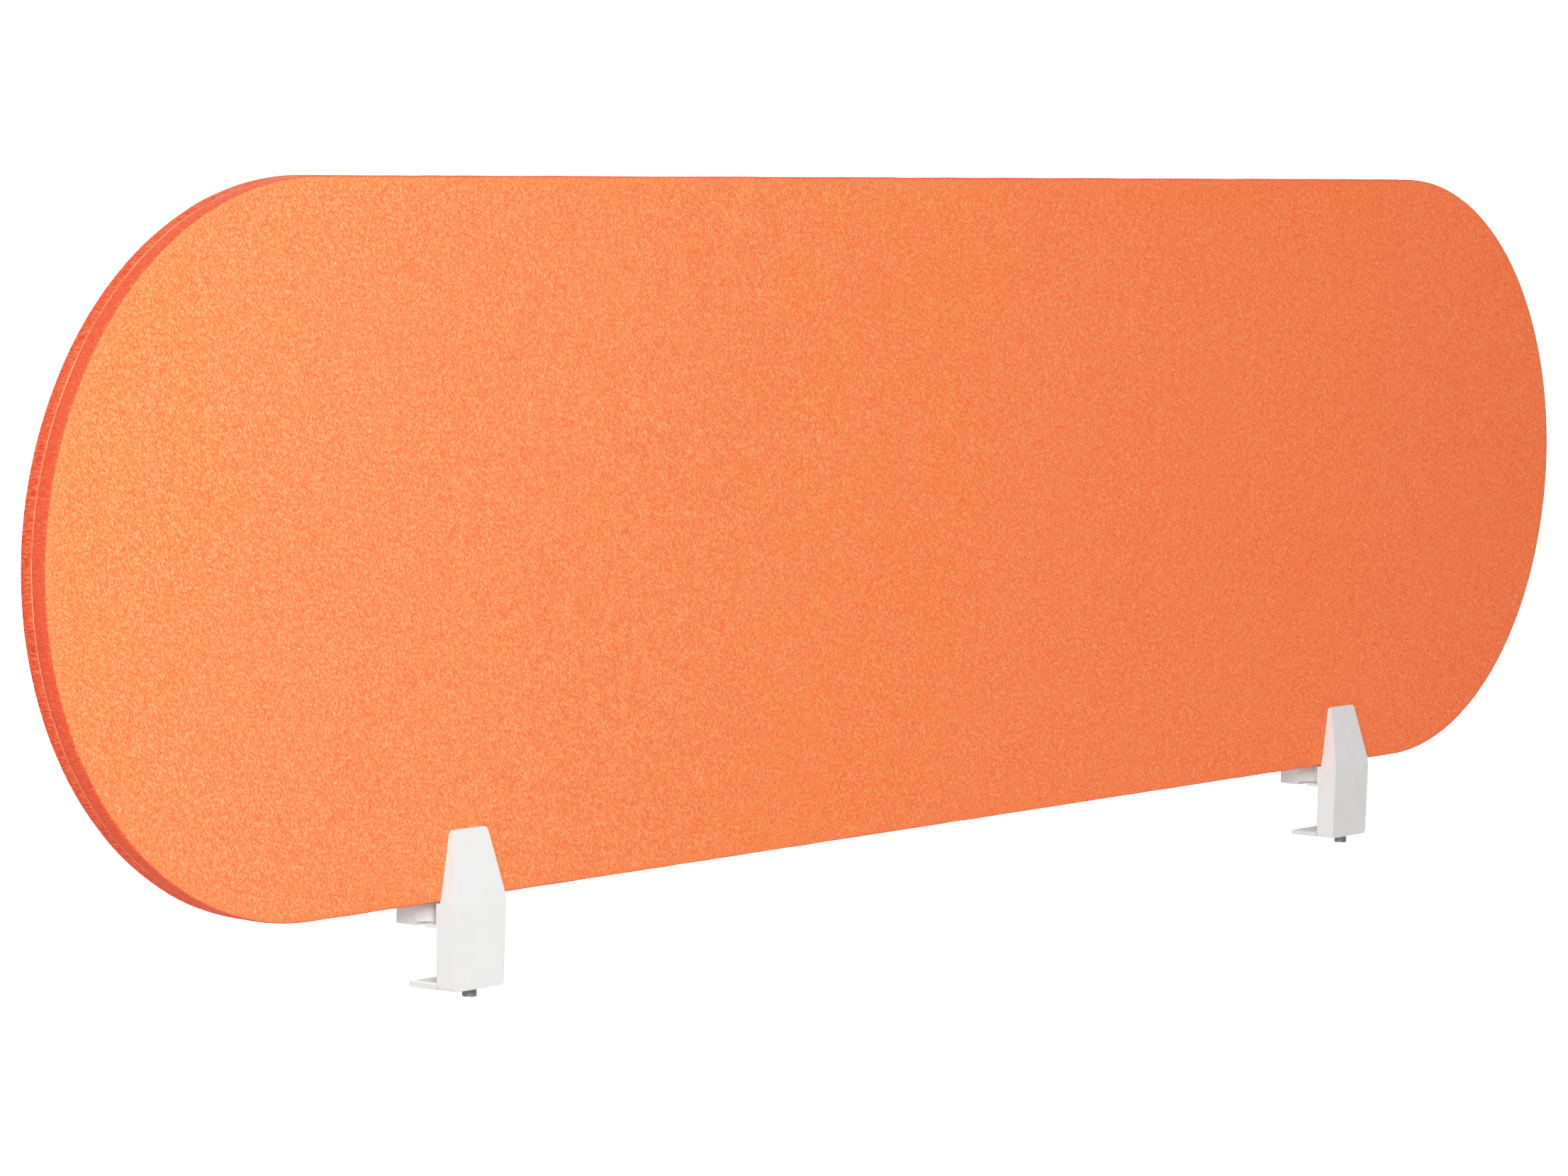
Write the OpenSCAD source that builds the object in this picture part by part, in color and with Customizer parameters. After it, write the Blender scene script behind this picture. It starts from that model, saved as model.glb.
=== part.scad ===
// Desk privacy panel: a fabric-covered screen with round ends, held to a desk edge by two screw clamps.
// +X runs along the panel, +Y points over the desk and +Z is up.
// The origin is on the desk's top front edge, below the middle of the panel.

/* [Panel] */
// Length of the panel over its round ends
panel_w = 1500; // [1100:50:1800]
// Height of the panel, which is also the diameter of its round ends
panel_h = 400; // [300:10:500]
// Thickness of the finished panel
panel_t = 18; // [16:1:24]
// Thickness of the board inside
board_t = 12; // [10:0.5:14]
// Thickness of the fabric covers
fabric_t = 0.8; // [0.6:0.1:1.2]
// Diameter of the welt that closes the seam round the edge
welt_d = 1.6; // [1.2:0.1:2]
// Distance from the panel's front face back to the middle of the seam
seam_depth = 10; // [8:0.5:12]
// Gap between the desk and the lower edge of the panel
panel_gap = 16; // [14:0.5:20]
// How far the panel's front face stands in front of the desk edge
panel_overhang = 2; // [1:0.5:4]

/* [Clamps] */
// Distance between the middles of the two clamps
clamp_span = 904; // [500:4:1000]
// How far the middle between the clamps lies to the right of the panel's middle
clamp_shift = 25; // [-50:5:50]
// Width of each clamp
clamp_w = 42; // [40:1:50]
// Width of a shield at its top edge
shield_top_w = 30; // [24:1:36]
// How far the shields reach up the panel
shield_h = 39; // [34:1:50]
// Depth of the front shield in front of the panel, at the panel's lower edge
front_depth = 12; // [12:0.5:16]
// Depth of the rear shield behind the panel, at the panel's lower edge
rear_depth = 14.5; // [13:0.5:18]
// Depth of both shields at their top edges
top_depth = 3; // [3:0.5:5]

/* [Jaws] */
// Thickest desk top that fits, with the lower jaw all the way down
desk_max = 31; // [26:1:32]
// Thinnest desk top that the lower jaw reaches
desk_min = 15; // [15:1:22]
// How far the lower jaw reaches under the desk
foot_reach = 20.5; // [18:0.5:28]
// Thickness of the lower jaw's plate
foot_t = 3; // [3:0.5:4]
// Width of the slider that carries the lower jaw
slider_w = 16; // [14:1:18]
// How far the rubber pads stand out of their recesses
pad_proud = 0.3; // [0.2:0.1:0.5]

/* [Screws] */
// Thread diameter of the clamp screws and pinch bolts
screw_d = 5; // [5:5]
// Length of the screws below their heads
screw_len = 35; // [35:35]
// Head diameter of the screws
head_d = 8.5; // [8.5:8.5]
// Head height of the screws
head_h = 5; // [5:5]
// Width across the flats of the screws' hex sockets
socket_af = 4; // [4:4]

/* [Hidden] */
$fn = 96;
orange = "#f58a56";
deep_orange = "#e8743f";
clamp_white = "#f2f1ee";
steel = "#8b8d91";
dark_steel = "#5b5d60";
rubber_grey = "#c4c3bf";
eps = 0.01;

// The panel's layers, front to rear
face_y = -panel_overhang;
back_y = face_y + panel_t;
foam_t = (panel_t - board_t) / 2 - fabric_t;
board_y = face_y + fabric_t + foam_t;
seam_y = face_y + seam_depth;
panel_mid_z = panel_gap + panel_h / 2;
// Depth of the board's groove below the fabric, and the facets of a full turn of the outline
groove_d = 1;
outline_fn = 240;

// The clamp's levels and planes
left_x = clamp_shift - clamp_span / 2;
right_x = clamp_shift + clamp_span / 2;
half_w = clamp_w / 2;
shield_top_z = panel_gap + shield_h;
front_y = face_y - front_depth;
rear_y = back_y + rear_depth;
// How far the spine leans back over its height
draft = 1;
// Cut along the body's lower rear edge, and how far the body is set back beside the lower jaw
edge_cut = 1;
relief = 0.4;
// Corner radii of the body's lower corners and of the rear block's
corner_r = 2.5;
heel_r = 0.5;
foot_top = -desk_max - pad_proud;
base_z = foot_top - foot_t;
travel = desk_max - desk_min;
// The shoulder below the panel, and the ledge that the rear block's notch hangs over
shoulder_y = 1;
shoulder_gap = 1.5;
shoulder_z = panel_gap - shoulder_gap;
ledge_y = 9;
ledge_t = 2;
under_z = pad_proud;

// The bridge below the panel
slant = 7.5;
slant_y = back_y;
bridge_w = 26;
bridge_gap = 2;
bridge_top = panel_gap - bridge_gap;
notch = 2.2;

// The screw that lifts the lower jaw
lift_y = -6;
run = 0.1;
slider_h = 7;
slide_gap = 0.2;
slider_front = -11;
// Room above the raised slider, for the ring
pocket_spare = 3.2;
pocket_top = base_z + slider_h + travel + pocket_spare;
nut_w = 8;
nut_t = 2.7;
nut_floor = 3;
washer_d = 10;
washer_t = 1;
washer_gap = 0.2;
// The retaining ring sits in a groove just above the slider
ring_t = 0.8;
ring_wall = 2;
ring_groove = 0.4;
ring_gap = 0.1;
// Channel above the nut for the screw's end
channel_gap = 0.4;
tip_spare = 1;
channel_top = base_z + screw_len + travel + tip_spare;

// The bolts that pull the two halves of the clamp together
bolt_x = 9;
bolt_z = 8.3;
head_sink = 1;
bolt_head_y = rear_y - head_sink - head_h;
blind_spare = 0.5;
insert_d = 6.8;
insert_len = 9;

// The pads
pad_t = 1.3;
grip_w = 20;
grip_h = 26;
grip_z = panel_gap + 6;
grip_t = 1;
jaw_pad_w = 34;
upper_pad_len = 11;
lower_pad_len = 12;
pad_inset = 1.5;

// Points on an arc about [x, y], from angle a to angle b
function arc(x, y, r, a, b, n = 8) = [for (i = [0:n]) let (t = a + (b - a) * i / n) [x + r * cos(t), y + r * sin(t)]];

// The panel's outline in the XZ plane, set in all round
module panel_outline(inset) {
    r = panel_h / 2 - inset;
    mid = panel_w - panel_h;
    translate([-mid / 2, panel_mid_z - r]) square([mid, 2 * r]);
    for (side = [-1, 1]) translate([side * mid / 2, panel_mid_z]) circle(r, $fn = outline_fn);
}

// Extrudes an outline drawn in the XZ plane from y0 to y1
module slab(y0, y1) {
    translate([0, y1, 0]) rotate([90, 0, 0]) linear_extrude(y1 - y0) children();
}

// Extrudes an outline drawn in the YZ plane over a width centred on X = 0
module across(w) {
    translate([-w / 2, 0, 0]) rotate([90, 0, 90]) linear_extrude(w) children();
}

// A block given by its two opposite corners
module block(low, high) {
    translate(low) cube(high - low);
}

// A round rod along Z
module post(x, y, z0, z1, r) {
    translate([x, y, z0]) cylinder(h = z1 - z0, r = r);
}

// A round rod along Y
module rod(x, z, y0, y1, r) {
    translate([x, y1, z]) rotate([90, 0, 0]) cylinder(h = y1 - y0, r = r);
}

// A socket head screw standing on its head, with its shank along +Z and its head below z = 0
module socket_screw(length) {
    difference() {
        union() {
            translate([0, 0, -head_h]) cylinder(h = head_h, d = head_d);
            cylinder(h = length, d = screw_d);
        }
        translate([0, 0, -head_h - eps]) cylinder(h = head_h / 2, d = socket_af / cos(30), $fn = 6);
    }
}

module core_board() {
    color("burlywood") difference() {
        slab(board_y, board_y + board_t) panel_outline(fabric_t);
        slab(seam_y - welt_d / 2, seam_y + welt_d / 2) difference() {
            panel_outline(0);
            panel_outline(fabric_t + groove_d);
        }
    }
}

module front_foam() {
    color("lightyellow") slab(face_y + fabric_t, board_y) panel_outline(fabric_t);
}

module rear_foam() {
    color("lightyellow") slab(board_y + board_t, back_y - fabric_t) panel_outline(fabric_t);
}

module front_fabric() {
    color(orange) difference() {
        slab(face_y, seam_y - welt_d / 2) panel_outline(0);
        slab(face_y + fabric_t, seam_y) panel_outline(fabric_t);
    }
}

module rear_fabric() {
    color(deep_orange) difference() {
        slab(seam_y + welt_d / 2, back_y) panel_outline(0);
        slab(seam_y, back_y - fabric_t) panel_outline(fabric_t);
    }
}

// A round bead that follows the panel's outline
module seam_welt() {
    r = panel_h / 2 - welt_d / 2;
    mid = panel_w - panel_h;
    color(deep_orange) translate([0, seam_y, panel_mid_z]) {
        for (side = [-1, 1]) {
            translate([-mid / 2, 0, side * r]) rotate([0, 90, 0]) cylinder(h = mid, d = welt_d, $fn = 16);
            translate([side * mid / 2, 0, 0]) rotate([90, 0, 0]) rotate([0, 0, side > 0 ? -90 : 90])
                rotate_extrude(angle = 180, $fn = outline_fn) translate([r, 0]) circle(d = welt_d, $fn = 16);
        }
    }
}

// Half of a shield's front view, from its top edge down to the level where it reaches its full width
function shield_side(w) = let (
    top_r = 3,
    lean = atan((w - shield_top_w) / 2 / shield_h),
    knee_r = 45,
    knee_z = panel_gap - knee_r * tan(lean / 2)
) concat(
    arc(shield_top_w / 2 - top_r, shield_top_z - top_r, top_r, 90, lean, 4),
    arc(w / 2 - knee_r, knee_z, knee_r, lean, 0, 6)
);

// A shield's front view down to the level low, with rounded lower corners
module shield_front(w, low, r) {
    half = concat(shield_side(w), arc(w / 2 - r, low + r, r, 0, -90, 4));
    polygon(concat(half, [for (i = [len(half) - 1:-1:0]) [-half[i][0], half[i][1]]]));
}

// A shield's sloping face in side view, as [depth, height] from its top edge down to the panel's lower edge
function shield_slope(depth) = let (
    lean = atan((depth - top_depth) / shield_h),
    knee_r = 40,
    knee_z = panel_gap - knee_r * tan(lean / 2)
) concat([[top_depth, shield_top_z]], arc(depth - knee_r, knee_z, knee_r, lean, 0, 6));

// Side view of the front body: shield, shoulder below the panel, and the spine in front of the desk edge
module front_side() {
    polygon(concat(
        [for (p = shield_slope(front_depth)) [face_y - p[0], p[1]]],
        [[front_y + draft, base_z], [-relief - edge_cut, base_z], [-relief, base_z + edge_cut],
        [-relief, foot_top], [0, foot_top + relief], [0, 0], [shoulder_y, under_z],
        [shoulder_y, shoulder_z], [face_y, shoulder_z], [face_y, shield_top_z]]
    ));
}

// Side view of the rear jaw: the shield behind the panel and the block that rests on the desk
module rear_side() {
    polygon(concat(
        [[back_y, shield_top_z], [back_y, under_z], [rear_y, under_z]],
        [for (i = [len(shield_slope(rear_depth)) - 1:-1:0]) let (p = shield_slope(rear_depth)[i]) [back_y + p[0], p[1]]]
    ));
}

module front_body() {
    color(clamp_white) difference() {
        union() {
            intersection() {
                across(clamp_w) front_side();
                slab(front_y - 1, shoulder_y + 1) shield_front(clamp_w, base_z, corner_r);
            }
            block([-half_w, shoulder_y, under_z], [half_w, ledge_y, under_z + ledge_t]);
        }
        // Guide for the slider, open below and to the rear
        block([-slider_w / 2 - slide_gap, slider_front - slide_gap, base_z - 1],
            [slider_w / 2 + slide_gap, shoulder_y + 1, pocket_top]);
        // Channel for the screw, and the slot that the nut slides into from the rear
        post(0, lift_y, pocket_top - 1, channel_top, screw_d / 2 + channel_gap);
        block([-nut_w / 2, lift_y - nut_w / 2, pocket_top + nut_floor],
            [nut_w / 2, shoulder_y + 1, pocket_top + nut_floor + nut_t]);
        // Blind holes for the threaded inserts and the bolts' ends
        for (side = [-1, 1]) {
            rod(side * bolt_x, bolt_z, shoulder_y - insert_len, shoulder_y + 1, insert_d / 2);
            rod(side * bolt_x, bolt_z, bolt_head_y - screw_len - blind_spare, shoulder_y, screw_d / 2 + run);
        }
        // Recess for the grip pad
        block([-grip_w / 2, face_y - grip_t, grip_z], [grip_w / 2, face_y + 1, grip_z + grip_h]);
    }
}

// The bridge's plan: full width at the rear, slanting in below the panel to the tongue that meets the front body
module bridge_plan() {
    polygon([[-half_w, slant_y + 1], [half_w, slant_y + 1], [half_w, slant_y], [half_w - slant, slant_y - slant],
        [bridge_w / 2, slant_y - slant], [bridge_w / 2, shoulder_y], [-bridge_w / 2, shoulder_y],
        [-bridge_w / 2, slant_y - slant], [slant - half_w, slant_y - slant], [-half_w, slant_y]]);
}

module rear_jaw() {
    color(clamp_white) difference() {
        union() {
            intersection() {
                across(clamp_w) rear_side();
                slab(back_y - 1, rear_y + 1) shield_front(clamp_w, under_z, heel_r);
            }
            translate([0, 0, under_z + notch]) linear_extrude(bridge_top - under_z - notch) bridge_plan();
        }
        for (side = [-1, 1]) {
            rod(side * bolt_x, bolt_z, 0, rear_y, screw_d / 2 + run);
            rod(side * bolt_x, bolt_z, bolt_head_y - washer_t, rear_y + 1, washer_d / 2 + washer_gap);
        }
        block([-grip_w / 2, back_y - 1, grip_z], [grip_w / 2, back_y + grip_t, grip_z + grip_h]);
        block([-jaw_pad_w / 2, rear_y - pad_inset - upper_pad_len, -1], [jaw_pad_w / 2, rear_y - pad_inset, pad_t]);
    }
}

module front_grip_pad() {
    color(rubber_grey) block([-grip_w / 2, face_y - grip_t, grip_z], [grip_w / 2, face_y, grip_z + grip_h]);
}

module rear_grip_pad() {
    color(rubber_grey) block([-grip_w / 2, back_y, grip_z], [grip_w / 2, back_y + grip_t, grip_z + grip_h]);
}

module upper_jaw_pad() {
    color(rubber_grey) block([-jaw_pad_w / 2, rear_y - pad_inset - upper_pad_len, 0], [jaw_pad_w / 2, rear_y - pad_inset, pad_t]);
}

module pinch_bolts() {
    color(steel) for (side = [-1, 1])
        translate([side * bolt_x, bolt_head_y, bolt_z]) rotate([90, 0, 0]) socket_screw(screw_len);
}

module pinch_washers() {
    color(steel) for (side = [-1, 1]) difference() {
        rod(side * bolt_x, bolt_z, bolt_head_y - washer_t, bolt_head_y, washer_d / 2);
        rod(side * bolt_x, bolt_z, bolt_head_y - 2 * washer_t, bolt_head_y + 1, screw_d / 2 + run);
    }
}

module threaded_inserts() {
    color("goldenrod") for (side = [-1, 1]) difference() {
        rod(side * bolt_x, bolt_z, shoulder_y - insert_len, shoulder_y, insert_d / 2);
        rod(side * bolt_x, bolt_z, shoulder_y - insert_len - 1, shoulder_y + 1, screw_d / 2);
    }
}

module captive_nut() {
    color(steel) difference() {
        block([-nut_w / 2, lift_y - nut_w / 2, pocket_top + nut_floor],
            [nut_w / 2, lift_y + nut_w / 2, pocket_top + nut_floor + nut_t]);
        post(0, lift_y, pocket_top, channel_top, screw_d / 2 + run / 2);
    }
}

module lower_jaw() {
    color(clamp_white) difference() {
        union() {
            block([-half_w, slide_gap, base_z], [half_w, foot_reach, foot_top]);
            block([-slider_w / 2, slider_front, base_z], [slider_w / 2, slide_gap + eps, foot_top]);
            block([-slider_w / 2, slider_front, base_z], [slider_w / 2, -slide_gap, base_z + slider_h]);
        }
        post(0, lift_y, base_z - 1, base_z + slider_h + 1, screw_d / 2 + run);
        post(0, lift_y, base_z - 1, base_z + washer_t, washer_d / 2 + washer_gap);
        block([-jaw_pad_w / 2, foot_reach - pad_inset - lower_pad_len, -desk_max - pad_t],
            [jaw_pad_w / 2, foot_reach - pad_inset, 0]);
    }
}

module lower_jaw_pad() {
    color(rubber_grey) block([-jaw_pad_w / 2, foot_reach - pad_inset - lower_pad_len, -desk_max - pad_t],
        [jaw_pad_w / 2, foot_reach - pad_inset, -desk_max]);
}

module clamp_screw() {
    color(dark_steel) difference() {
        translate([0, lift_y, base_z]) socket_screw(screw_len);
        // Groove for the retaining ring
        difference() {
            post(0, lift_y, base_z + slider_h + ring_gap, base_z + slider_h + ring_gap + ring_t, screw_d);
            post(0, lift_y, base_z, base_z + screw_len, screw_d / 2 - ring_groove);
        }
    }
}

module screw_washer() {
    color(steel) difference() {
        post(0, lift_y, base_z, base_z + washer_t, washer_d / 2);
        post(0, lift_y, base_z - 1, base_z + washer_t + 1, screw_d / 2 + run);
    }
}

module retaining_ring() {
    color(dark_steel) difference() {
        post(0, lift_y, base_z + slider_h + ring_gap, base_z + slider_h + ring_gap + ring_t, screw_d / 2 + ring_wall);
        post(0, lift_y, base_z, base_z + screw_len, screw_d / 2 - ring_groove);
    }
}

module left() {
    translate([left_x, 0, 0]) children();
}

module right() {
    translate([right_x, 0, 0]) children();
}

core_board();
front_foam();
rear_foam();
front_fabric();
rear_fabric();
seam_welt();
left() front_body();  // left_front_body
left() rear_jaw();  // left_rear_jaw
left() front_grip_pad();  // left_front_grip_pad
left() rear_grip_pad();  // left_rear_grip_pad
left() upper_jaw_pad();  // left_upper_jaw_pad
left() pinch_bolts();  // left_pinch_bolts
left() pinch_washers();  // left_pinch_washers
left() threaded_inserts();  // left_threaded_inserts
left() captive_nut();  // left_captive_nut
left() lower_jaw();  // left_lower_jaw
left() lower_jaw_pad();  // left_lower_jaw_pad
left() clamp_screw();  // left_clamp_screw
left() screw_washer();  // left_screw_washer
left() retaining_ring();  // left_retaining_ring
right() front_body();  // right_front_body
right() rear_jaw();  // right_rear_jaw
right() front_grip_pad();  // right_front_grip_pad
right() rear_grip_pad();  // right_rear_grip_pad
right() upper_jaw_pad();  // right_upper_jaw_pad
right() pinch_bolts();  // right_pinch_bolts
right() pinch_washers();  // right_pinch_washers
right() threaded_inserts();  // right_threaded_inserts
right() captive_nut();  // right_captive_nut
right() lower_jaw();  // right_lower_jaw
right() lower_jaw_pad();  // right_lower_jaw_pad
right() clamp_screw();  // right_clamp_screw
right() screw_washer();  // right_screw_washer
right() retaining_ring();  // right_retaining_ring
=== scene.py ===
import math

import bmesh
import bpy
from mathutils import Matrix, Vector, noise


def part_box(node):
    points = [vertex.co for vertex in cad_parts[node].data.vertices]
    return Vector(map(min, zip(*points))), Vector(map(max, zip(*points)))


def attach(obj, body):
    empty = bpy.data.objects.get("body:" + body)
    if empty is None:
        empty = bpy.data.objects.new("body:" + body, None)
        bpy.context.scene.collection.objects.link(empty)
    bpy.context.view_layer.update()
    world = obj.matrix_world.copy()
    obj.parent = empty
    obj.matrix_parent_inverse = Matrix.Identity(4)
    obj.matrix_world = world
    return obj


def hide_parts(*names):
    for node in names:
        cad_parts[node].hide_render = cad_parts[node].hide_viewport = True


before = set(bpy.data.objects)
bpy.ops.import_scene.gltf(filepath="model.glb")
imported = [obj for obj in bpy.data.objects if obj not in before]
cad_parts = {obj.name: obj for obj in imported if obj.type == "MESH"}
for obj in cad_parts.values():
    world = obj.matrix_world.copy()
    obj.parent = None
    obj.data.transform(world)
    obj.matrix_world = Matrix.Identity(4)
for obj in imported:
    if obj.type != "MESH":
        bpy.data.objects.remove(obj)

MM = 0.001
TURN = 2 * math.pi
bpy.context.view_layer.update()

# ---------------------------------------------------------------- the CAD model's measures
front_low, front_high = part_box("front_fabric")
rear_low, rear_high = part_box("rear_fabric")
RADIUS = (front_high.z - front_low.z) / 2
HALF_STRAIGHT = (front_high.x - front_low.x) / 2 - RADIUS
MIDDLE_Z = (front_high.z + front_low.z) / 2
FACE_Y = front_low.y
BACK_Y = rear_high.y
SEAM_Y = (front_high.y + rear_low.y) / 2
SIDES = ("left", "right")

# ---------------------------------------------------------------- camera
CAMERA_PLACE = Vector((-2.6366, -1.9598, 0.4502))
CAMERA_AZIMUTH = math.radians(51.849)
CAMERA_PITCH = math.radians(-5.007)
CAMERA_ROLL = math.radians(1.0)
SENSOR_MM = 36.0
LENS_MM = 122.516


def aim(place, forward, roll=0.0):
    """The matrix of a camera or light at place that looks along forward."""
    right = forward.cross(Vector((0, 0, 1))).normalized()
    up = right.cross(forward).normalized()
    right, up = (right * math.cos(roll) + up * math.sin(roll), up * math.cos(roll) - right * math.sin(roll))
    axes = Matrix((right, up, -forward)).transposed()
    return Matrix.Translation(place) @ axes.to_4x4()


camera = bpy.data.objects.new("camera", bpy.data.cameras.new("camera"))
camera.data.sensor_fit = "HORIZONTAL"
camera.data.sensor_width = SENSOR_MM
camera.data.lens = LENS_MM
camera.data.clip_end = 100
camera.matrix_world = aim(
    CAMERA_PLACE,
    Vector((
        math.sin(CAMERA_AZIMUTH) * math.cos(CAMERA_PITCH),
        math.cos(CAMERA_AZIMUTH) * math.cos(CAMERA_PITCH),
        math.sin(CAMERA_PITCH),
    )),
    CAMERA_ROLL,
)
bpy.context.scene.collection.objects.link(camera)
bpy.context.scene.camera = camera


# ---------------------------------------------------------------- materials
class Finish:
    """A material's node graph. Inputs are numbers, colours or sockets, by name or, as in i0, by number."""

    def __init__(self, name, **uniform):
        self.material = bpy.data.materials.new(name)
        self.material.use_nodes = True
        self.tree = self.material.node_tree
        self.shader = self.tree.nodes["Principled BSDF"]
        self.fill(self.shader, uniform)

    def fill(self, node, inputs):
        for name, value in inputs.items():
            numbered = name[0] == "i" and name[1:].isdigit()
            socket = node.inputs[int(name[1:]) if numbered else name.replace("_", " ")]
            if isinstance(value, bpy.types.NodeSocket):
                self.tree.links.new(value, socket)
            elif hasattr(value, "__len__") and socket.type == "RGBA":
                socket.default_value = (*value, 1.0)
            else:
                socket.default_value = value

    def add(self, kind, settings=None, **inputs):
        node = self.tree.nodes.new(kind)
        for key, value in (settings or {}).items():
            setattr(node, key, value)
        self.fill(node, inputs)
        return node

    def place(self):
        return self.add("ShaderNodeTexCoord").outputs["Object"]

    def mapped(self, vector, size, turn=(0, 0, 0)):
        """vector turned back by turn and divided by size: a texture gets that size along turned axes."""
        settings = {"vector_type": "TEXTURE"}
        return self.add("ShaderNodeMapping", settings, Vector=vector, Rotation=turn, Scale=size).outputs[0]

    def noise(self, vector, detail=2.0, roughness=0.5):
        inputs = {"Vector": vector, "Scale": 1.0, "Detail": detail, "Roughness": roughness}
        return self.add("ShaderNodeTexNoise", **inputs).outputs["Fac"]

    def math(self, what, a, b=0.0, c=0.0):
        return self.add("ShaderNodeMath", {"operation": what}, i0=a, i1=b, i2=c).outputs[0]

    def span(self, value, low, high, to_low=0.0, to_high=1.0):
        """value taken from low..high to to_low..to_high, and held at its ends."""
        ends = {"i1": low, "i2": high, "i3": to_low, "i4": to_high}
        return self.add("ShaderNodeMapRange", {"clamp": True}, i0=value, **ends).outputs[0]

    def ramp(self, value, *stops):
        node = self.add("ShaderNodeValToRGB", Fac=value)
        elements = node.color_ramp.elements
        while len(elements) < len(stops):
            elements.new(0.5)
        for element, (position, colour) in zip(elements, stops):
            element.position = position
            element.color = (*colour, 1.0)
        return node.outputs["Color"]

    def blend(self, share, a, b):
        return self.add("ShaderNodeMix", {"data_type": "RGBA"}, i0=share, i6=a, i7=b).outputs[2]

    def bump(self, height, depth, strength=1.0, on=None):
        inputs = {"Height": height, "Distance": depth, "Strength": strength}
        if on is not None:
            inputs["Normal"] = on
        return self.add("ShaderNodeBump", **inputs).outputs[0]

    def surface(self, **inputs):
        self.fill(self.shader, inputs)
        return self.material


def crepe(name, dark, base, light, fleck, band_painted_shade, band_painted_deep_shade, rib):
    """Woven crepe: slanting grains on the faces, and ribs across the edge band, with rib as their share. The
    edge band is coloured darker than the faces as painted shade.
    """
    sheen = {"Sheen_Weight": 0.12, "Sheen_Roughness": 0.5, "Sheen_Tint": (1.0, 0.50, 0.26)}
    f = Finish(name, Specular_IOR_Level=0.2, **sheen)
    at = f.place()
    down_slant, up_slant = (0, math.radians(-36), 0), (0, math.radians(44), 0)
    down = f.noise(f.mapped(at, (0.5 * MM, 0.5 * MM, 1.5 * MM), down_slant), detail=1.0)
    up = f.noise(f.mapped(at, (0.5 * MM, 0.5 * MM, 1.0 * MM), up_slant), detail=1.0)
    fine = f.noise(f.mapped(at, (0.42 * MM, 0.42 * MM, 0.5 * MM)), detail=1.0)
    small = f.math("MULTIPLY_ADD", up, 0.28, f.math("MULTIPLY", fine, 0.10))
    grain = f.math("ADD", f.math("MULTIPLY", down, 0.62), small)
    patch = f.noise(f.mapped(at, (13 * MM, 13 * MM, 17 * MM)), detail=3.0, roughness=0.6)
    cloud = f.noise(f.mapped(at, (160 * MM, 160 * MM, 120 * MM)), detail=1.0)
    uneven = f.math("MULTIPLY_ADD", patch, 0.02, f.math("MULTIPLY", cloud, 0.025))
    level = f.span(f.math("ADD", grain, uneven), 0.358, 0.678)
    face = f.ramp(level, (0.0, dark), (0.42, base), (0.62, light), (1.0, fleck))
    along = f.add("ShaderNodeUVMap").outputs[0]
    ribs = f.noise(f.mapped(along, (1.15 * MM, 4.6 * MM, 1)), roughness=0.6)
    strands = f.noise(f.mapped(along, (2.6 * MM, 0.7 * MM, 1), (0, 0, 0.5)))
    between = f.math("MULTIPLY", f.math("ADD", strands, fine), (1 - rib) / 2)
    mixed = f.math("ADD", f.math("MULTIPLY", ribs, rib), between)
    # The band's colours are the same cloth made darker: painted shade on the edge band, over its real ribs.
    band = f.ramp(f.span(mixed, 0.38, 0.66), (0.0, band_painted_deep_shade), (0.6, band_painted_shade), (1.0, light))
    mask = f.add("ShaderNodeAttribute", {"attribute_name": "band"}).outputs["Fac"]
    height = f.add("ShaderNodeMix", {"data_type": "FLOAT"}, i0=mask, i2=grain, i3=mixed).outputs[0]
    rough = f.span(grain, 0.35, 0.65, 0.95, 0.78)
    normal = f.bump(height, 0.55 * MM, 0.8, f.bump(patch, 1.2 * MM, 0.12))
    return f.surface(Base_Color=f.blend(mask, face, band), Roughness=rough, Normal=normal)


def piping_cloth(name):
    """The seam's piping: a tight bias-cut strip with twisted grain, coloured paler than the covers as a
    painted highlight along the seam.
    """
    f = Finish(name, Sheen_Weight=0.3, Sheen_Roughness=0.4, Specular_IOR_Level=0.25)
    along = f.add("ShaderNodeUVMap").outputs[0]
    twist = f.noise(f.mapped(along, (0.9 * MM, 2.5 * MM, 1), (0, 0, 0.7)))
    wear = f.noise(f.mapped(f.place(), (26 * MM, 26 * MM, 30 * MM)))
    # These tones are paler than the covers' colours: a painted highlight on the piping, over its real
    # twisted grain.
    twist_tones_with_painted_highlight = (0.0, (0.88, 0.17, 0.06)), (0.5, (1.0, 0.30, 0.12)), (1.0, (1.0, 0.44, 0.20))
    colour = f.ramp(f.span(twist, 0.3, 0.7), *twist_tones_with_painted_highlight)
    colour = f.blend(f.span(wear, 0.45, 0.62), colour, (0.93, 0.17, 0.06))
    rough = f.span(twist, 0.3, 0.7, 0.85, 0.65)
    return f.surface(Base_Color=colour, Roughness=rough, Normal=f.bump(twist, 0.3 * MM, 0.7))


def foam_cells(name):
    """Open-cell foam."""
    f = Finish(name, Roughness=0.95, Specular_IOR_Level=0.1)
    cells = f.add("ShaderNodeTexVoronoi", Vector=f.mapped(f.place(), (0.6 * MM,) * 3)).outputs["Distance"]
    tone = f.noise(f.mapped(f.place(), (30 * MM,) * 3))
    colour = f.blend(f.span(cells, 0.1, 0.8), (0.72, 0.66, 0.48), (0.84, 0.80, 0.66))
    colour = f.blend(f.span(tone, 0.4, 0.7, 0, 0.25), colour, (0.70, 0.58, 0.36))
    return f.surface(Base_Color=colour, Normal=f.bump(cells, 0.3 * MM, 0.6))


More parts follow.
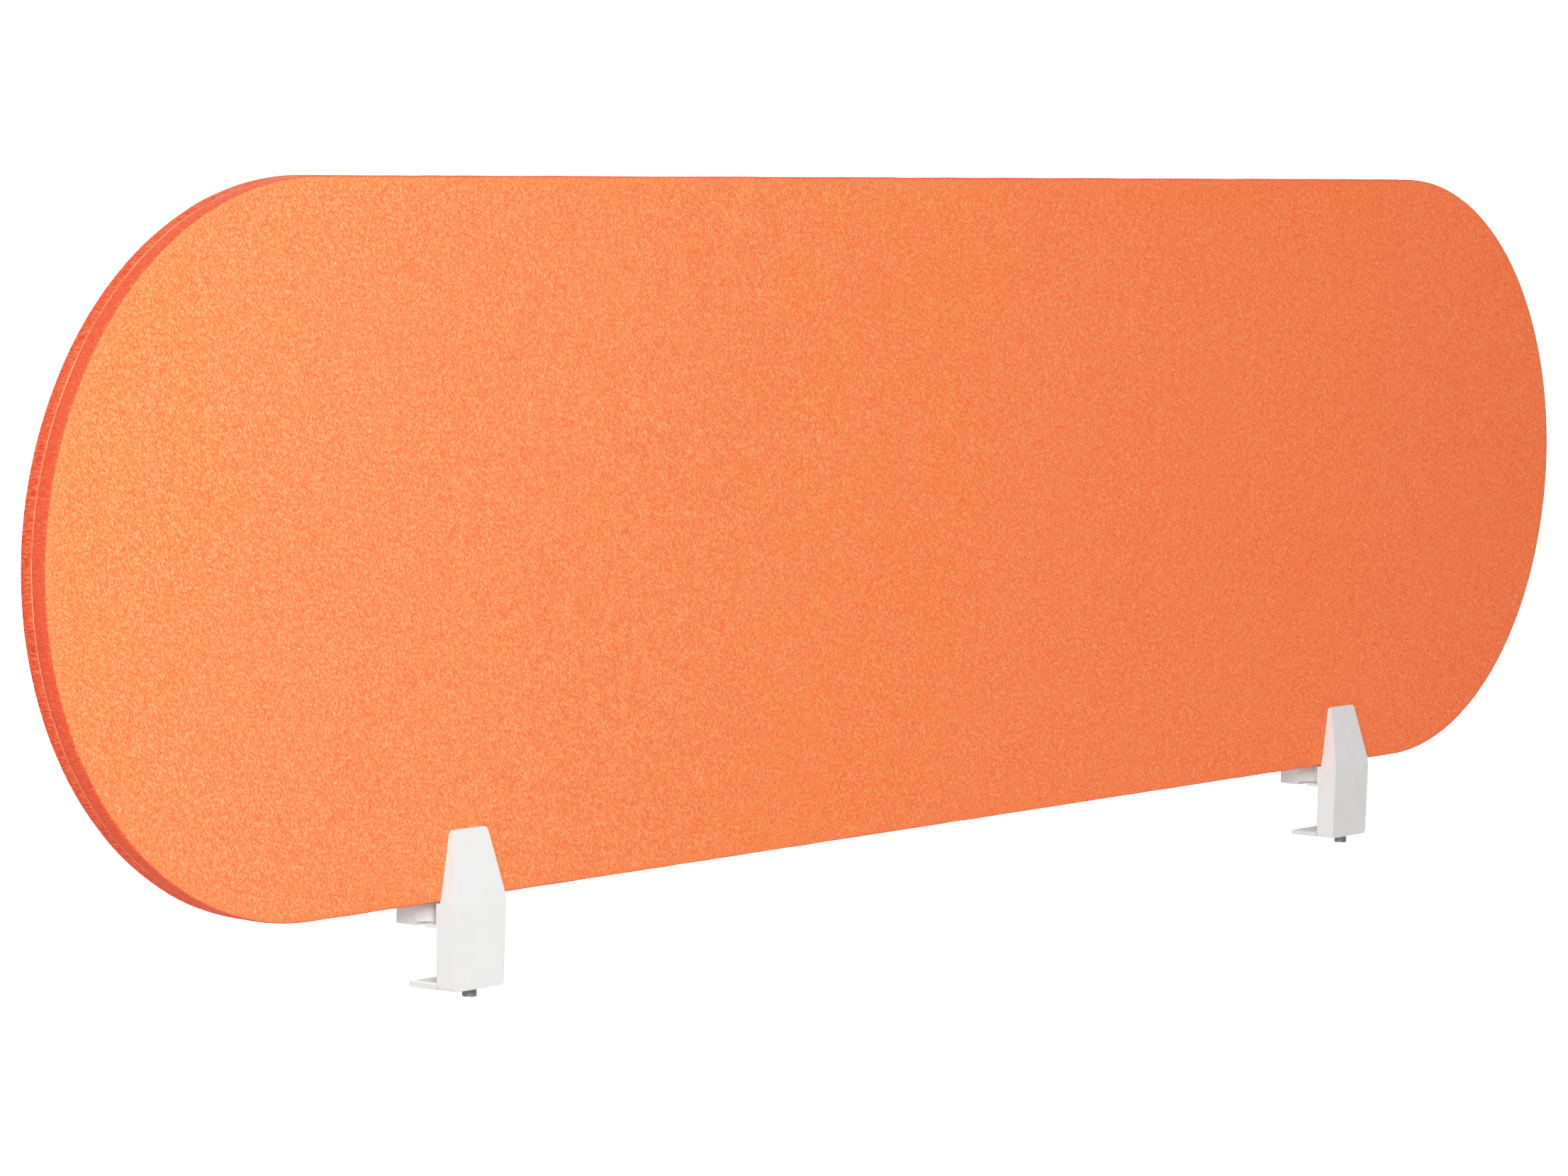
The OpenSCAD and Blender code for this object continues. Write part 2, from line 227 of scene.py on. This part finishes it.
def chipboard(name):
    """Pressed wood chips, lying flat in the board's plane."""
    f = Finish(name, Specular_IOR_Level=0.25)
    chips = f.add("ShaderNodeTexVoronoi", Vector=f.mapped(f.place(), (5 * MM, 0.9 * MM, 3 * MM)))
    tone = f.add("ShaderNodeSeparateColor", Color=chips.outputs["Color"]).outputs[0]
    fibre = f.noise(f.mapped(f.place(), (6 * MM, 0.5 * MM, 0.7 * MM)), detail=3.0)
    colour = f.ramp(tone, (0.0, (0.30, 0.18, 0.09)), (0.5, (0.48, 0.32, 0.17)), (1.0, (0.62, 0.45, 0.27)))
    colour = f.blend(f.span(fibre, 0.3, 0.7, 0, 0.4), colour, (0.38, 0.24, 0.12))
    rough = f.span(fibre, 0.3, 0.7, 0.7, 0.88)
    return f.surface(Base_Color=colour, Roughness=rough, Normal=f.bump(fibre, 0.25 * MM, 0.5))


EDGE_SOFT = 1.0 * MM  # the rounding that the shading gives the moulded edges


def white_shell(name, base, warm, roughness, grain, depth):
    """White moulding: a fine orange-peel texture, a faint change of tone and softly shaded edges."""
    f = Finish(name, Specular_IOR_Level=0.45, Coat_Weight=0.2, Coat_Roughness=0.16)
    at = f.place()
    peel = f.noise(f.mapped(at, (grain,) * 3), roughness=0.6)
    soft = f.noise(f.mapped(at, (9 * MM, 9 * MM, 14 * MM)), detail=3.0)
    scuff = f.noise(f.mapped(at, (0.25 * MM, 3 * MM, 2.2 * MM)), detail=3.0, roughness=0.7)
    colour = f.blend(f.span(soft, 0.35, 0.7), base, warm)
    colour = f.blend(f.span(scuff, 0.66, 0.8, 0, 0.3), colour, tuple(0.8 * c for c in warm))
    rough = f.span(peel, 0.3, 0.7, roughness - 0.05, roughness + 0.06)
    rough = f.math("ADD", rough, f.span(scuff, 0.6, 0.8, 0, 0.12))
    soft_edge = f.add("ShaderNodeBevel", Radius=EDGE_SOFT).outputs[0]
    return f.surface(Base_Color=colour, Roughness=rough, Normal=f.bump(peel, depth, 0.5, on=soft_edge))


def rubber_skin(name):
    """Matt grey rubber with a fine grit and patchy dust."""
    f = Finish(name, Specular_IOR_Level=0.3)
    grit = f.noise(f.mapped(f.place(), (0.3 * MM,) * 3), detail=3.0)
    dust = f.noise(f.mapped(f.place(), (5 * MM,) * 3), detail=4.0, roughness=0.7)
    colour = f.blend(f.span(dust, 0.45, 0.75, 0, 0.6), (0.50, 0.50, 0.49), (0.42, 0.415, 0.40))
    rough = f.span(grit, 0.3, 0.7, 0.62, 0.85)
    return f.surface(Base_Color=colour, Roughness=rough, Normal=f.bump(grit, 0.1 * MM, 0.5))


def metal(name, base, tint, rough_low, rough_high, size):
    """Plated or blackened metal with fine marks of the given size and patchy plating."""
    f = Finish(name, Metallic=1.0)
    at = f.place()
    marks = f.noise(f.mapped(at, size), detail=3.0, roughness=0.6)
    patch = f.noise(f.mapped(at, (2.2 * MM,) * 3), detail=3.0, roughness=0.65)
    colour = f.blend(f.span(patch, 0.35, 0.7), base, tint)
    rough = f.span(marks, 0.3, 0.7, rough_low, rough_high)
    return f.surface(Base_Color=colour, Roughness=rough, Normal=f.bump(marks, 0.03 * MM, 0.4))


# The two colours after fleck are the edge band's, darker than the face colours as painted shade.
FRONT_CLOTH = crepe(
    "front_cloth", (0.80, 0.070, 0.019), (0.93, 0.117, 0.033), (0.98, 0.165, 0.050), (1.0, 0.29, 0.100),
    (0.74, 0.064, 0.024), (0.50, 0.030, 0.011), 0.35,
)
REAR_CLOTH = crepe(
    "rear_cloth", (0.78, 0.071, 0.021), (0.91, 0.110, 0.033), (0.97, 0.155, 0.050), (1.0, 0.27, 0.090),
    (0.76, 0.070, 0.025), (0.42, 0.024, 0.008), 0.7,
)
PIPING = piping_cloth("welt_cloth")
FOAM = foam_cells("foam")
BOARD = chipboard("board")
CLAMP_WHITE = white_shell("clamp_white", (0.64, 0.64, 0.63), (0.61, 0.605, 0.59), 0.32, 0.35 * MM, 0.03 * MM)
JAW_WHITE = white_shell("jaw_white", (0.60, 0.60, 0.595), (0.56, 0.56, 0.55), 0.36, 0.5 * MM, 0.05 * MM)
RUBBER = rubber_skin("rubber")
EVEN_MARKS = (0.15 * MM, 0.15 * MM, 0.15 * MM)
UPRIGHT_MARKS = (0.12 * MM, 0.12 * MM, 0.9 * MM)
LEVEL_MARKS = (0.15 * MM, 1 * MM, 0.15 * MM)
ZINC = metal("zinc_steel", (0.58, 0.60, 0.62), (0.48, 0.49, 0.50), 0.24, 0.4, EVEN_MARKS)
DARK_STEEL = metal("dark_steel", (0.30, 0.30, 0.31), (0.20, 0.20, 0.21), 0.18, 0.32, UPRIGHT_MARKS)
BRASS = metal("insert_brass", (0.78, 0.56, 0.24), (0.66, 0.45, 0.18), 0.22, 0.4, LEVEL_MARKS)


# ---------------------------------------------------------------- mesh tools
def piece(name, points, faces, finish, body, uv=None, values=None):
    """A new mesh object that rides on a body. uv has a pair, and each of values a number, for each point."""
    mesh = bpy.data.meshes.new(name)
    mesh.from_pydata([tuple(p) for p in points], [], faces)
    if uv is not None:
        layer = mesh.uv_layers.new(name="UVMap")
        for loop in mesh.loops:
            layer.data[loop.index].uv = uv[loop.vertex_index]
    for key, numbers in (values or {}).items():
        mesh.attributes.new(key, "FLOAT", "POINT").data.foreach_set("value", numbers)
    mesh.materials.append(finish)
    for polygon in mesh.polygons:
        polygon.use_smooth = True
    made = bpy.data.objects.new(name, mesh)
    bpy.context.scene.collection.objects.link(made)
    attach(made, body)
    return made


def tidy(made, join=1e-6, outward=True):
    """Joins points that are within join of each other and turns the faces outward."""
    work = bmesh.new()
    work.from_mesh(made.data)
    bmesh.ops.remove_doubles(work, verts=work.verts, dist=join)
    if outward:
        bmesh.ops.recalc_face_normals(work, faces=work.faces)
    work.to_mesh(made.data)
    work.free()
    return made


def quads(rows, columns, closed_rows=False, closed_columns=True):
    """Faces of a grid of points stored row by row."""
    faces = []
    for i in range(rows if closed_rows else rows - 1):
        for j in range(columns if closed_columns else columns - 1):
            k, n = (j + 1) % columns, (i + 1) % rows
            faces.append((i * columns + j, i * columns + k, n * columns + k, n * columns + j))
    return faces


# ---------------------------------------------------------------- the panel's outline and covers
STRAIGHT_STEPS, END_STEPS = 220, 128  # on each straight side and round each end
OUTLINE_STEPS = 2 * (STRAIGHT_STEPS + END_STEPS)


def outline():
    """Points round the panel's outline as (x, z, outward x, outward z, distance along it)."""
    points, far = [], 0.0
    step, turn = 2 * HALF_STRAIGHT / STRAIGHT_STEPS, math.pi / END_STEPS
    for side in (1, -1):
        for i in range(STRAIGHT_STEPS):
            points.append((side * (i * step - HALF_STRAIGHT), side * RADIUS, 0.0, float(side), far))
            far += step
        for i in range(END_STEPS):
            a = i * turn
            nx, nz = side * math.sin(a), side * math.cos(a)
            points.append((side * HALF_STRAIGHT + RADIUS * nx, RADIUS * nz, nx, nz, far))
            far += RADIUS * turn
    return points


OUTLINE = outline()


def wander(x, y, z, size, seed):
    """Smooth noise from -1 to 1 with features of about size, the same each time for a seed."""
    return noise.noise(Vector((x / size + seed, y / size, z / size + 7.0 * seed)))


FACE_SWELL = 0.12 * MM


def covering(name, profile, finish, unevenness, seed):
    """A cloth cover lofted from its profile, from the middle of the face out to the seam.

    A row of the profile is the inset from the outline, y, and how far the row belongs to the edge band.
    """
    points, uv, band = [], [], []
    across = 0.0
    for i, (inset, y, share) in enumerate(profile):
        if i:
            across += math.hypot(inset - profile[i - 1][0], y - profile[i - 1][1])
        for x, z, nx, nz, far in OUTLINE:
            deep = inset + unevenness * wander(x, y, z, 22 * MM, seed) * share
            px, pz = x - nx * deep, z - nz * deep
            swell = FACE_SWELL * wander(px, 0.0, pz, 90 * MM, seed + 3) * (1 - share)
            points.append((px, y + swell, MIDDLE_Z + pz))
            uv.append((far, across))
            band.append(share)
    faces = quads(len(profile), OUTLINE_STEPS)
    made = piece(name, points, faces, finish, "panel", uv=uv, values={"band": band})
    return tidy(made, outward=False)


def cover_profile(face_y, seam_y, edge_radius, sink):
    """The cover's profile from the face's middle to the seam. sink is the face's fall towards its edge."""
    way = 1 if seam_y > face_y else -1
    shoulder, swell, hem_depth = 5 * MM, 0.12 * MM, 1.0 * MM
    hem_inset, hem_radius, tuck, tuck_depth = 0.05 * MM, 0.75 * MM, 1.9 * MM, 0.8 * MM
    face_steps, turn_steps, band_steps = 15, 5, 4
    rows = []
    for i in range(face_steps):
        inset = RADIUS * (1 - i / face_steps) ** 1.25
        if inset > shoulder:
            rows.append((inset, face_y, 0.0))
    for inset, fall in ((shoulder, 0.15), (3.4 * MM, 0.3), (2.4 * MM, 0.55), (1.7 * MM, 1.0)):
        rows.append((max(inset, edge_radius), face_y + way * sink * fall, 0.0))
    for i in range(1, turn_steps + 1):
        a = i / turn_steps * math.pi / 2
        drop = sink + edge_radius * (1 - math.cos(a))
        share = 0.3 * i / turn_steps if i < 3 else 1.0
        rows.append((edge_radius * (1 - math.sin(a)), face_y + way * drop, share))
    start, end = face_y + way * (sink + edge_radius), seam_y - way * hem_depth
    for i in range(1, band_steps):
        t = i / band_steps
        rows.append((-swell * math.sin(math.pi * t), start + (end - start) * t, 1.0))
    rows.append((hem_inset, end, 1.0))
    for degrees in (30, 60, 90):
        a = math.radians(degrees)
        rows.append((hem_inset + hem_radius * (1 - math.cos(a)), end + way * hem_radius * math.sin(a), 1.0))
    rows.append((tuck, end + way * tuck_depth, 1.0))
    return rows


def thicken(made, thickness):
    """Gives a sheet its thickness, inward from its faces."""
    solid = made.modifiers.new("thickness", "SOLIDIFY")
    solid.thickness = thickness
    solid.offset = -1
    solid.use_rim = True


COVER_THICKNESS = 0.7 * MM
SEAM_CLEAR = 0.25 * MM
EDGE_RADIUS, FACE_SINK = 1.2 * MM, 0.2 * MM
EDGE_UNEVEN = 0.22 * MM
front_profile = cover_profile(FACE_Y, SEAM_Y - SEAM_CLEAR, EDGE_RADIUS, FACE_SINK)
front_cover = covering("front_cover", front_profile, FRONT_CLOTH, EDGE_UNEVEN, seed=1.0)
front_cover.data.flip_normals()
thicken(front_cover, COVER_THICKNESS)
rear_profile = cover_profile(BACK_Y, SEAM_Y + SEAM_CLEAR, EDGE_RADIUS, FACE_SINK)
rear_cover = covering("rear_cover", rear_profile, REAR_CLOTH, EDGE_UNEVEN, seed=5.0)
thicken(rear_cover, COVER_THICKNESS)
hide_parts("front_fabric")
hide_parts("rear_fabric")


# ---------------------------------------------------------------- padding and piping
def padding(name, node):
    """A foam sheet on the board's face. Its profile holds insets and shares of half its thickness."""
    low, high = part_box(node)
    middle, half = (low.y + high.y) / 2, (high.y - low.y) / 2
    rim, rim_radius, every = RADIUS - (high.z - low.z) / 2, 0.9 * MM, 4
    face = [(RADIUS, -0.85), (RADIUS * 0.6, -0.87), (RADIUS * 0.3, -0.9), (12 * MM, -0.9), (4 * MM, -0.88)]
    edge = []
    for degrees in range(-90, 91, 30):
        a = math.radians(degrees)
        edge.append((rim + rim_radius * (1 - math.cos(a)), math.sin(a) * 0.85))
    profile = face + edge + [(inset, -y) for inset, y in face[::-1]]
    points, uv = [], []
    for inset, y in profile:
        for x, z, nx, nz, far in OUTLINE[::every]:
            points.append((x - nx * inset, middle + y * half, MIDDLE_Z + z - nz * inset))
            uv.append((far, inset))
    made = piece(name, points, quads(len(profile), OUTLINE_STEPS // every), FOAM, "panel", uv=uv)
    tidy(made)
    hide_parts(node)


padding("front_padding", "front_foam")
padding("rear_padding", "rear_foam")


def piping():
    """The round piping in the seam, standing a little proud of the covers."""
    core, proud, segments = 0.8 * MM, 0.35 * MM, 10
    points, uv = [], []
    for x, z, nx, nz, far in OUTLINE:
        lift = proud + 0.1 * MM * wander(x, 0.0, z, 14 * MM, 9.0)
        sway = 0.12 * MM * wander(x, 0.0, z, 30 * MM, 11.0)
        for k in range(segments):
            a = TURN * k / segments
            out = lift - core + core * math.cos(a)
            points.append((x + nx * out, SEAM_Y + sway + core * math.sin(a), MIDDLE_Z + z + nz * out))
            uv.append((far, core * a))
    faces = quads(OUTLINE_STEPS, segments, closed_rows=True)
    made = piece("seam_piping", points, faces, PIPING, "panel", uv=uv)
    tidy(made)
    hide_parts("seam_welt")
    return made


seam_piping = piping()


# ---------------------------------------------------------------- screws
def turned(profile, segments):
    """Points and faces of a surface of revolution about Z. A radius may be a function of angle and z."""
    points = []
    for radius, z in profile:
        for k in range(segments):
            a = TURN * k / segments
            r = radius(a, z) if callable(radius) else radius
            points.append(Vector((r * math.cos(a), r * math.sin(a), z)))
    faces = quads(len(profile), segments)
    faces.append(tuple(range(segments))[::-1])
    faces.append(tuple(len(points) - segments + k for k in range(segments)))
    return points, faces


def socket_screw(major, length, head_d, head_h, across_flats, pitch, thread_from):
    """A socket head cap screw with its head below z = 0 and a helical thread on its shank."""
    segments, knurls, knurl_depth, tip_taper, rows_per_turn = 36, 24, 0.13 * MM, 0.35 * MM, 6
    root, crest, r = major / 2 - 0.61 * pitch, major / 2, head_d / 2
    threaded = length - thread_from

    def knurl(a, z):
        return r - knurl_depth * (0.5 + 0.5 * math.cos(knurls * a))

    def hexagon(a, z):
        part = (a + math.pi / 6) % (math.pi / 3) - math.pi / 6
        return across_flats / 2 / math.cos(part)

    def thread(a, z):
        wave = abs(2 * ((z / pitch - a / TURN) % 1.0) - 1)
        flank = min(1.0, max(0.0, 1.25 * wave - 0.08))
        run_in = min(1.0, max(0.0, (z - thread_from) / pitch))
        run_out = 1.0 if z < length - pitch else max(0.0, (length - z) / pitch)
        fade = run_in * run_out
        taper = 0.0 if z < thread_from + pitch else tip_taper
        return crest - (crest - root) * (1 - flank) * fade - (1 - fade) * taper

    corner = across_flats / 2 / math.cos(math.pi / 6)
    end = -head_h
    rows = [(hexagon, end / 2), (hexagon, end + 0.05 * MM), (corner + 0.15 * MM, end)]
    rows += [(r - 0.4 * MM, end), (r - 0.22 * MM, end + 0.06 * MM), (r - 0.13 * MM, end + 0.22 * MM)]
    rows += [(knurl, end + 0.5 * MM), (knurl, end * 0.5), (knurl, -0.5 * MM)]
    rows += [(r - 0.15 * MM, -0.25 * MM), (r - 0.3 * MM, 0.0), (crest, 0.0), (crest, 0.3 * MM)]
    steps = int(threaded / pitch * rows_per_turn)
    rows += [(thread, thread_from + threaded * i / steps) for i in range(steps + 1)]
    return turned(rows, segments)


def screw_piece(name, places, along, finish, slot, body, **size):
    """One or more screws, each with its head's seat at a place and its shank along the given direction."""
    base, base_faces = socket_screw(**size)
    turn = Vector((0, 0, 1)).rotation_difference(Vector(along)).to_matrix()
    points, faces = [], []
    for place in places:
        start = len(points)
        points += [turn @ p + Vector(place) for p in base]
        faces += [tuple(start + i for i in face) for face in base_faces]
    made = piece(name, points, faces, finish, body)
    return tidy(made, join=1e-7)


M5_SCREW = {
    "major": 5 * MM,
    "length": 35 * MM,
    "head_d": 8.5 * MM,
    "head_h": 5 * MM,
    "across_flats": 4 * MM,
    "pitch": 0.8 * MM,
}
LIFT_THREAD_FROM, BOLT_THREAD_FROM = 9 * MM, 14 * MM


# ---------------------------------------------------------------- rubber pads
def ribbed_pad(name, node, out, rib_axis, body, rib):
    """A rubber pad in its recess. Its grip face, towards out, has ribs of depth rib along rib_axis."""
    low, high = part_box(node)
    depth_axis = [i for i in range(3) if abs(out[i]) > 0.5][0]
    flat_axis = 3 - depth_axis - rib_axis
    gap, pitch, rim, lift, steps_per_rib = 0.1 * MM, 2.0 * MM, 0.35 * MM, 0.02 * MM, 8
    sign = 1 if out[depth_axis] > 0 else -1
    top, floor = (high, low) if sign > 0 else (low, high)
    rib_low, rib_high = low[rib_axis] + gap, high[rib_axis] - gap
    flat_low, flat_high = low[flat_axis] + gap, high[flat_axis] - gap
    count = max(2, round((rib_high - rib_low) / pitch))
    n = count * steps_per_rib + 1
    along = [i / (n - 1) for i in range(n)]
    across = [0.0, 0.012, 0.03, 0.5, 0.97, 0.988, 1.0]
    m = len(across)
    points = []
    for s in along:
        for t in across:
            a, b = rib_low + (rib_high - rib_low) * s, flat_low + (flat_high - flat_low) * t
            edge = min(a - rib_low, rib_high - a, b - flat_low, flat_high - b) / rim
            soft = 1.0 if edge >= 1 else math.sqrt(max(0.0, 1 - (1 - edge) ** 2))
            wave = 0.5 - 0.5 * math.cos(TURN * count * s)
            p = Vector((0, 0, 0))
            p[rib_axis], p[flat_axis] = a, b
            p[depth_axis] = top[depth_axis] - sign * (rib * (1 - wave) * soft + rim * (1 - soft))
            points.append(p)
    faces = quads(n, m, closed_columns=False)
    border = list(range(m)) + [i * m + m - 1 for i in range(1, n)]
    border += [(n - 1) * m + j for j in range(m - 2, -1, -1)] + [i * m for i in range(n - 2, 0, -1)]
    lower = {}
    for i in border:
        p = points[i].copy()
        p[depth_axis] = floor[depth_axis] + sign * lift
        lower[i] = len(points)
        points.append(p)
    for i, k in zip(border, border[1:] + border[:1]):
        faces.append((i, k, lower[k], lower[i]))
    faces.append(tuple(lower[i] for i in border))
    made = piece(name, points, faces, RUBBER, body)
    tidy(made)
    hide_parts(node)


# ---------------------------------------------------------------- the clamps
def finish_node(node, material):
    """Shows a CAD node in material, and leaves the material on its mesh as it is."""
    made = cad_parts[node]
    if not made.material_slots:
        made.data.materials.append(material)
    for held in made.material_slots:
        held.link = "OBJECT"
        held.material = material


def round_edges(node, width):
    """Rounds a CAD node's sharp edges with modifiers, and leaves its mesh as it is."""
    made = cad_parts[node]
    weld = made.modifiers.new("weld", "WELD")
    weld.merge_threshold = 0.02 * MM
    flat = made.modifiers.new("flat", "DECIMATE")
    flat.decimate_type = "DISSOLVE"
    flat.angle_limit = math.radians(0.6)
    bevel = made.modifiers.new("round", "BEVEL")
    bevel.width = width
    bevel.segments = 3
    bevel.limit_method = "ANGLE"
    bevel.angle_limit = math.radians(32)
    bevel.use_clamp_overlap = False
    bevel.miter_outer = "MITER_ARC"
    bevel.harden_normals = True


NODE_FINISHES = {
    "front_body": CLAMP_WHITE,
    "rear_jaw": CLAMP_WHITE,
    "lower_jaw": JAW_WHITE,
    "pinch_washers": ZINC,
    "threaded_inserts": BRASS,
    "captive_nut": ZINC,
    "screw_washer": ZINC,
    "retaining_ring": DARK_STEEL,
}
X_AXIS, Z_AXIS = 0, 2
GRIP_RIB, JAW_RIB = 0.28 * MM, 0.06 * MM


def pads(side):
    """The clamp's four pads: two that grip the panel and two that grip the desk."""
    ribbed_pad(f"{side}_front_grip", f"{side}_front_grip_pad", (0, 1, 0), Z_AXIS, "panel", GRIP_RIB)
    ribbed_pad(f"{side}_rear_grip", f"{side}_rear_grip_pad", (0, -1, 0), Z_AXIS, "panel", GRIP_RIB)
    ribbed_pad(f"{side}_upper_pad", f"{side}_upper_jaw_pad", (0, 0, -1), X_AXIS, "panel", JAW_RIB)
    ribbed_pad(f"{side}_lower_pad", f"{side}_lower_jaw_pad", (0, 0, 1), X_AXIS, f"{side}_jaw", JAW_RIB)


def lifting_screw(side):
    """The screw that lifts the lower jaw."""
    low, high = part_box(f"{side}_clamp_screw")
    middle = (low + high) / 2
    seat = (middle.x, middle.y, low.z + M5_SCREW["head_h"])
    made = screw_piece(f"{side}_lifting_screw", [seat], (0, 0, 1), DARK_STEEL, "dark_steel", f"{side}_screw",
                       thread_from=LIFT_THREAD_FROM, **M5_SCREW)
    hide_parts(f"{side}_clamp_screw")


def clamping_bolts(side):
    """The two bolts that pull the rear jaw towards the front body."""
    low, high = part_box(f"{side}_pinch_bolts")
    seat_y, level, r = high.y - M5_SCREW["head_h"], (low.z + high.z) / 2, M5_SCREW["head_d"] / 2
    seats = [(low.x + r, seat_y, level), (high.x - r, seat_y, level)]
    made = screw_piece(f"{side}_clamping_bolts", seats, (0, -1, 0), ZINC, "zinc_steel", "panel",
                       thread_from=BOLT_THREAD_FROM, **M5_SCREW)
    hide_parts(f"{side}_pinch_bolts")


finish_node("core_board", BOARD)
for side in SIDES:
    for part, finish in NODE_FINISHES.items():
        finish_node(f"{side}_{part}", finish)
    round_edges(f"{side}_lower_jaw", 0.3 * MM)
    pads(side)
    lifting_screw(side)
    clamping_bolts(side)


# ---------------------------------------------------------------- floor, lights and tone
def studio_floor():
    """A round pale floor, a desk's height below the desk top."""
    radius, rings, segments, level = 2.6, 26, 96, -0.75
    points = []
    for i in range(1, rings + 1):
        for k in range(segments):
            a, r = TURN * k / segments, radius * i / rings
            points.append((r * math.cos(a), r * math.sin(a), level))
    faces = quads(rings, segments) + [tuple(range(segments))]
    mesh = bpy.data.meshes.new("floor")
    mesh.from_pydata(points, [], faces)
    f = Finish("floor", Specular_IOR_Level=0.2)
    tone = f.noise(f.mapped(f.place(), (0.4,) * 3), detail=3.0)
    colour = f.blend(tone, (0.86, 0.86, 0.86), (0.9, 0.9, 0.9))
    mesh.materials.append(f.surface(Base_Color=colour, Roughness=f.span(tone, 0.3, 0.7, 0.7, 0.8)))
    made = bpy.data.objects.new("floor", mesh)
    bpy.context.scene.collection.objects.link(made)


def softbox(name, place, target, width, height, watts):
    """A white rectangular light at place that shines towards target."""
    light = bpy.data.lights.new(name, "AREA")
    light.shape = "RECTANGLE"
    light.size, light.size_y = width, height
    light.energy = watts
    made = bpy.data.objects.new(name, light)
    made.matrix_world = aim(Vector(place), (Vector(target) - Vector(place)).normalized())
    bpy.context.scene.collection.objects.link(made)


studio_floor()
softbox("key", (-1.7, -1.3, 0.9), (-0.5, 0, 0.2), 0.9, 0.9, 68)
softbox("top", (-0.3, -0.4, 2.2), (0, 0, 0.2), 2.4, 1.6, 15)
softbox("back", (1.1, 2.2, 1.1), (0, 0, 0.15), 2.0, 1.4, 40)

# The world lights the object with FILL, and the camera sees it as a plain white of strength SEEN_WHITE.
SEEN_WHITE, FILL = 3.2, 0.5
world = bpy.data.worlds.new("world")
bpy.context.scene.world = world
world.use_nodes = True
sky = world.node_tree
fill_light = sky.nodes["Background"]
fill_light.inputs["Strength"].default_value = FILL
fill_light.inputs["Color"].default_value = (1, 1, 1, 1)
backdrop = sky.nodes.new("ShaderNodeBackground")
backdrop.inputs["Strength"].default_value = SEEN_WHITE
backdrop.inputs["Color"].default_value = (1, 1, 1, 1)
seen = sky.nodes.new("ShaderNodeLightPath")
either = sky.nodes.new("ShaderNodeMixShader")
sky.links.new(seen.outputs["Is Camera Ray"], either.inputs[0])
sky.links.new(fill_light.outputs[0], either.inputs[1])
sky.links.new(backdrop.outputs[0], either.inputs[2])
sky.links.new(either.outputs[0], sky.nodes["World Output"].inputs[0])

# A film-like tone curve: straight in the shadows and soft towards white, which it reaches at WHITE.
WHITE = 3.0
TONE = ((0.35, 0.345), (0.6, 0.56), (0.85, 0.73), (1.05, 0.84), (1.5, 0.94), (2.0, 0.975))
show = bpy.context.scene.view_settings
bpy.context.scene.display_settings.display_device = "sRGB"
show.view_transform = "Standard"
show.look = "None"
show.use_curve_mapping = True
curves = show.curve_mapping
curves.white_level = (WHITE, WHITE, WHITE)
curves.extend = "HORIZONTAL"
for level, result in TONE:
    curves.curves[3].points.new(level / WHITE, result)
curves.update()
